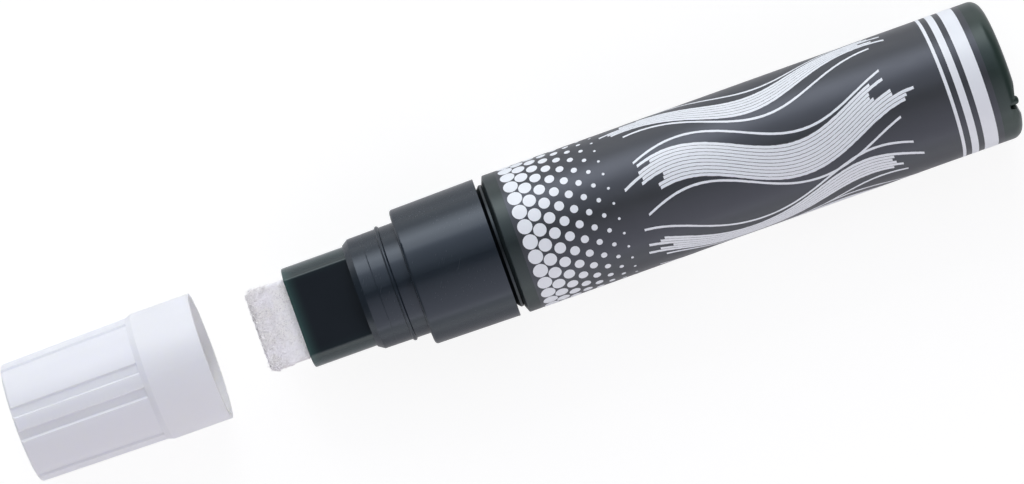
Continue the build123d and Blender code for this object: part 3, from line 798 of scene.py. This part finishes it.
shadow_reach = 0.16         # from the middle of the object: out to here the paper shows its shadow
shadow_white = 0.86         # how strongly the paper shines white of itself there
mirror_near = 0.04          # from the axis: out to here the mirrored paper is dark
mirror_far = 0.075          # and from here on it is white
mirror_dark_share = 0.12
mirror_strength = 1.25


def white_paper(name):
    """Matt white paper that the camera sees as white under a soft shadow. Mirrored in the pen it is white
    further off and darker close by, where the pen stands over it."""
    made = bpy.data.materials.new(name)
    made.use_nodes = True
    tree = made.node_tree
    tree.nodes.clear()
    rays = add(tree, "ShaderNodeLightPath").outputs
    place = add(tree, "ShaderNodeTexCoord").outputs["Object"]
    away = add(tree, "ShaderNodeVectorMath", {0: place}, operation="LENGTH").outputs["Value"]
    white_share = add(tree, "ShaderNodeMapRange", {
        "Value": away, "From Min": shadow_reach, "From Max": 2 * shadow_reach,
        "To Min": shadow_white, "To Max": 1.0,
    }).outputs["Result"]
    white = add(tree, "ShaderNodeMath", {0: rays["Is Camera Ray"], 1: white_share},
                operation="MULTIPLY").outputs[0]
    seen_white = add(tree, "ShaderNodeEmission", {"Strength": white})
    shade = add(tree, "ShaderNodeMix", {
        0: rays["Is Camera Ray"], 6: linear("#f4f4f4"), 7: linear("#808080"),
    }, data_type="RGBA")
    sheet = add(tree, "ShaderNodeBsdfDiffuse", {"Color": shade.outputs[2]})
    aside = add(tree, "ShaderNodeMath", {
        0: add(tree, "ShaderNodeSeparateXYZ", {"Vector": place}).outputs["Y"],
    }, operation="ABSOLUTE").outputs[0]
    mirrored_share = add(tree, "ShaderNodeMapRange", {
        "Value": aside, "From Min": mirror_near, "From Max": mirror_far,
        "To Min": mirror_dark_share, "To Max": 1.0,
    }).outputs["Result"]
    bounced = add(tree, "ShaderNodeMath", {0: rays["Is Glossy Ray"], 1: rays["Is Transmission Ray"]},
                  operation="MAXIMUM").outputs[0]
    mirrored = add(tree, "ShaderNodeMath", {0: bounced, 1: mirrored_share}, operation="MULTIPLY").outputs[0]
    mirrored_white = add(tree, "ShaderNodeEmission", {"Strength": mirror_strength})
    lit = add(tree, "ShaderNodeMixShader", {
        0: mirrored, 1: sheet.outputs["BSDF"], 2: mirrored_white.outputs["Emission"],
    })
    paper = add(tree, "ShaderNodeAddShader", {0: lit.outputs["Shader"], 1: seen_white.outputs["Emission"]})
    add(tree, "ShaderNodeOutputMaterial", {"Surface": paper.outputs["Shader"]})
    return made


floor_mesh.materials.append(white_paper("white_floor_paper"))


def softbox(name, height_angle, side, distance, length, height, colour, radiances):
    """A long soft light beside the pen, towards +Y where side is 1 and towards -Y where it is -1, its middle
    this high above the floor in degrees. Its radiance is graded from its lower edge over its middle to its
    upper edge."""
    lower, middle, upper = radiances
    lamp = bpy.data.lights.new(name, "AREA")
    lamp.shape = "RECTANGLE"
    lamp.size = length
    lamp.size_y = height
    lamp.energy = 4 * length * height       # makes the emission's strength the radiance itself
    lamp.color = linear(colour)[:3]
    lamp.use_nodes = True
    tree = lamp.node_tree
    tree.nodes.clear()
    up = add(tree, "ShaderNodeSeparateXYZ", {
        "Vector": add(tree, "ShaderNodeNewGeometry").outputs["Parametric"],
    }).outputs["Y"]
    lower_half = add(tree, "ShaderNodeMapRange", {
        "Value": up, "From Min": 0.0, "From Max": 0.5, "To Min": lower, "To Max": middle,
    }).outputs["Result"]
    upper_half = add(tree, "ShaderNodeMapRange", {
        "Value": up, "From Min": 0.5, "From Max": 1.0, "To Min": 0.0, "To Max": upper - middle,
    }).outputs["Result"]
    graded = add(tree, "ShaderNodeMath", {0: lower_half, 1: upper_half}, operation="ADD").outputs[0]
    glow = add(tree, "ShaderNodeEmission", {"Strength": graded})
    add(tree, "ShaderNodeOutputLight", {"Surface": glow.outputs["Emission"]})
    stand = bpy.data.objects.new(name, lamp)
    elevation = radians(height_angle)
    outwards = Vector((0.0, side * cos(elevation), sin(elevation)))
    stand.location = Vector((0.0, 0.0, axis_height)) + outwards * distance
    stand.rotation_euler = (-outwards).to_track_quat("-Z", "Y").to_euler()
    stand.visible_camera = False
    bpy.context.scene.collection.objects.link(stand)


softbox("key_softbox", height_angle=27.5, side=1, distance=0.6, length=0.5, height=0.42,
        colour="#fafcff", radiances=(0.9, 3.65, 1.75))
softbox("back_panel", height_angle=63, side=1, distance=0.8, length=1.0, height=0.58,
        colour="#eef3ff", radiances=(1.28, 0.77, 0.46))
softbox("fill_panel", height_angle=42, side=-1, distance=0.8, length=1.0, height=1.2,
        colour="#f6f1f9", radiances=(1.3, 0.95, 0.3))

# The studio is dim but for a glow low along the horizon, strongest on the pen's two sides
world = bpy.data.worlds.new("studio")
bpy.context.scene.world = world
world.use_nodes = True
world_tree = world.node_tree
heading = add(world_tree, "ShaderNodeSeparateXYZ", {
    "Vector": add(world_tree, "ShaderNodeTexCoord").outputs["Generated"],
}).outputs
sideways = add(world_tree, "ShaderNodeMath", {0: heading["Y"]}, operation="ABSOLUTE").outputs[0]
horizon = add(world_tree, "ShaderNodeMapRange", {
    "Value": sideways, "From Min": 0.5, "From Max": 0.9, "To Min": 0.4, "To Max": 1.0,
}).outputs["Result"]
horizon_glow = add(world_tree, "ShaderNodeMapRange", {
    "Value": heading["Z"], "From Min": 0.10, "From Max": 0.24, "To Min": horizon, "To Max": 0.1,
})
backdrop = world_tree.nodes["Background"]
backdrop.inputs["Color"].default_value = linear("#ffffff")
world_tree.links.new(horizon_glow.outputs["Result"], backdrop.inputs["Strength"])

# The photograph's view: straight down, with the pen turned in the frame
pen_turn = 19.7             # degrees
image_width_px = 1024
focal_length_px = 4300
px_per_mm = 5.6
view_centre_x = 0.43 * MM
view_centre_y = -0.05 * MM
sensor_width_mm = 36.0
camera_data = bpy.data.cameras.new("camera")
camera_data.sensor_width = sensor_width_mm
camera_data.lens = focal_length_px / image_width_px * sensor_width_mm
camera = bpy.data.objects.new("camera", camera_data)
camera.location = (view_centre_x, view_centre_y, axis_height + focal_length_px / px_per_mm * MM)
camera.rotation_euler = (0.0, 0.0, radians(-pen_turn))
bpy.context.scene.collection.objects.link(camera)
bpy.context.scene.camera = camera
bpy.context.scene.view_settings.view_transform = "Standard"
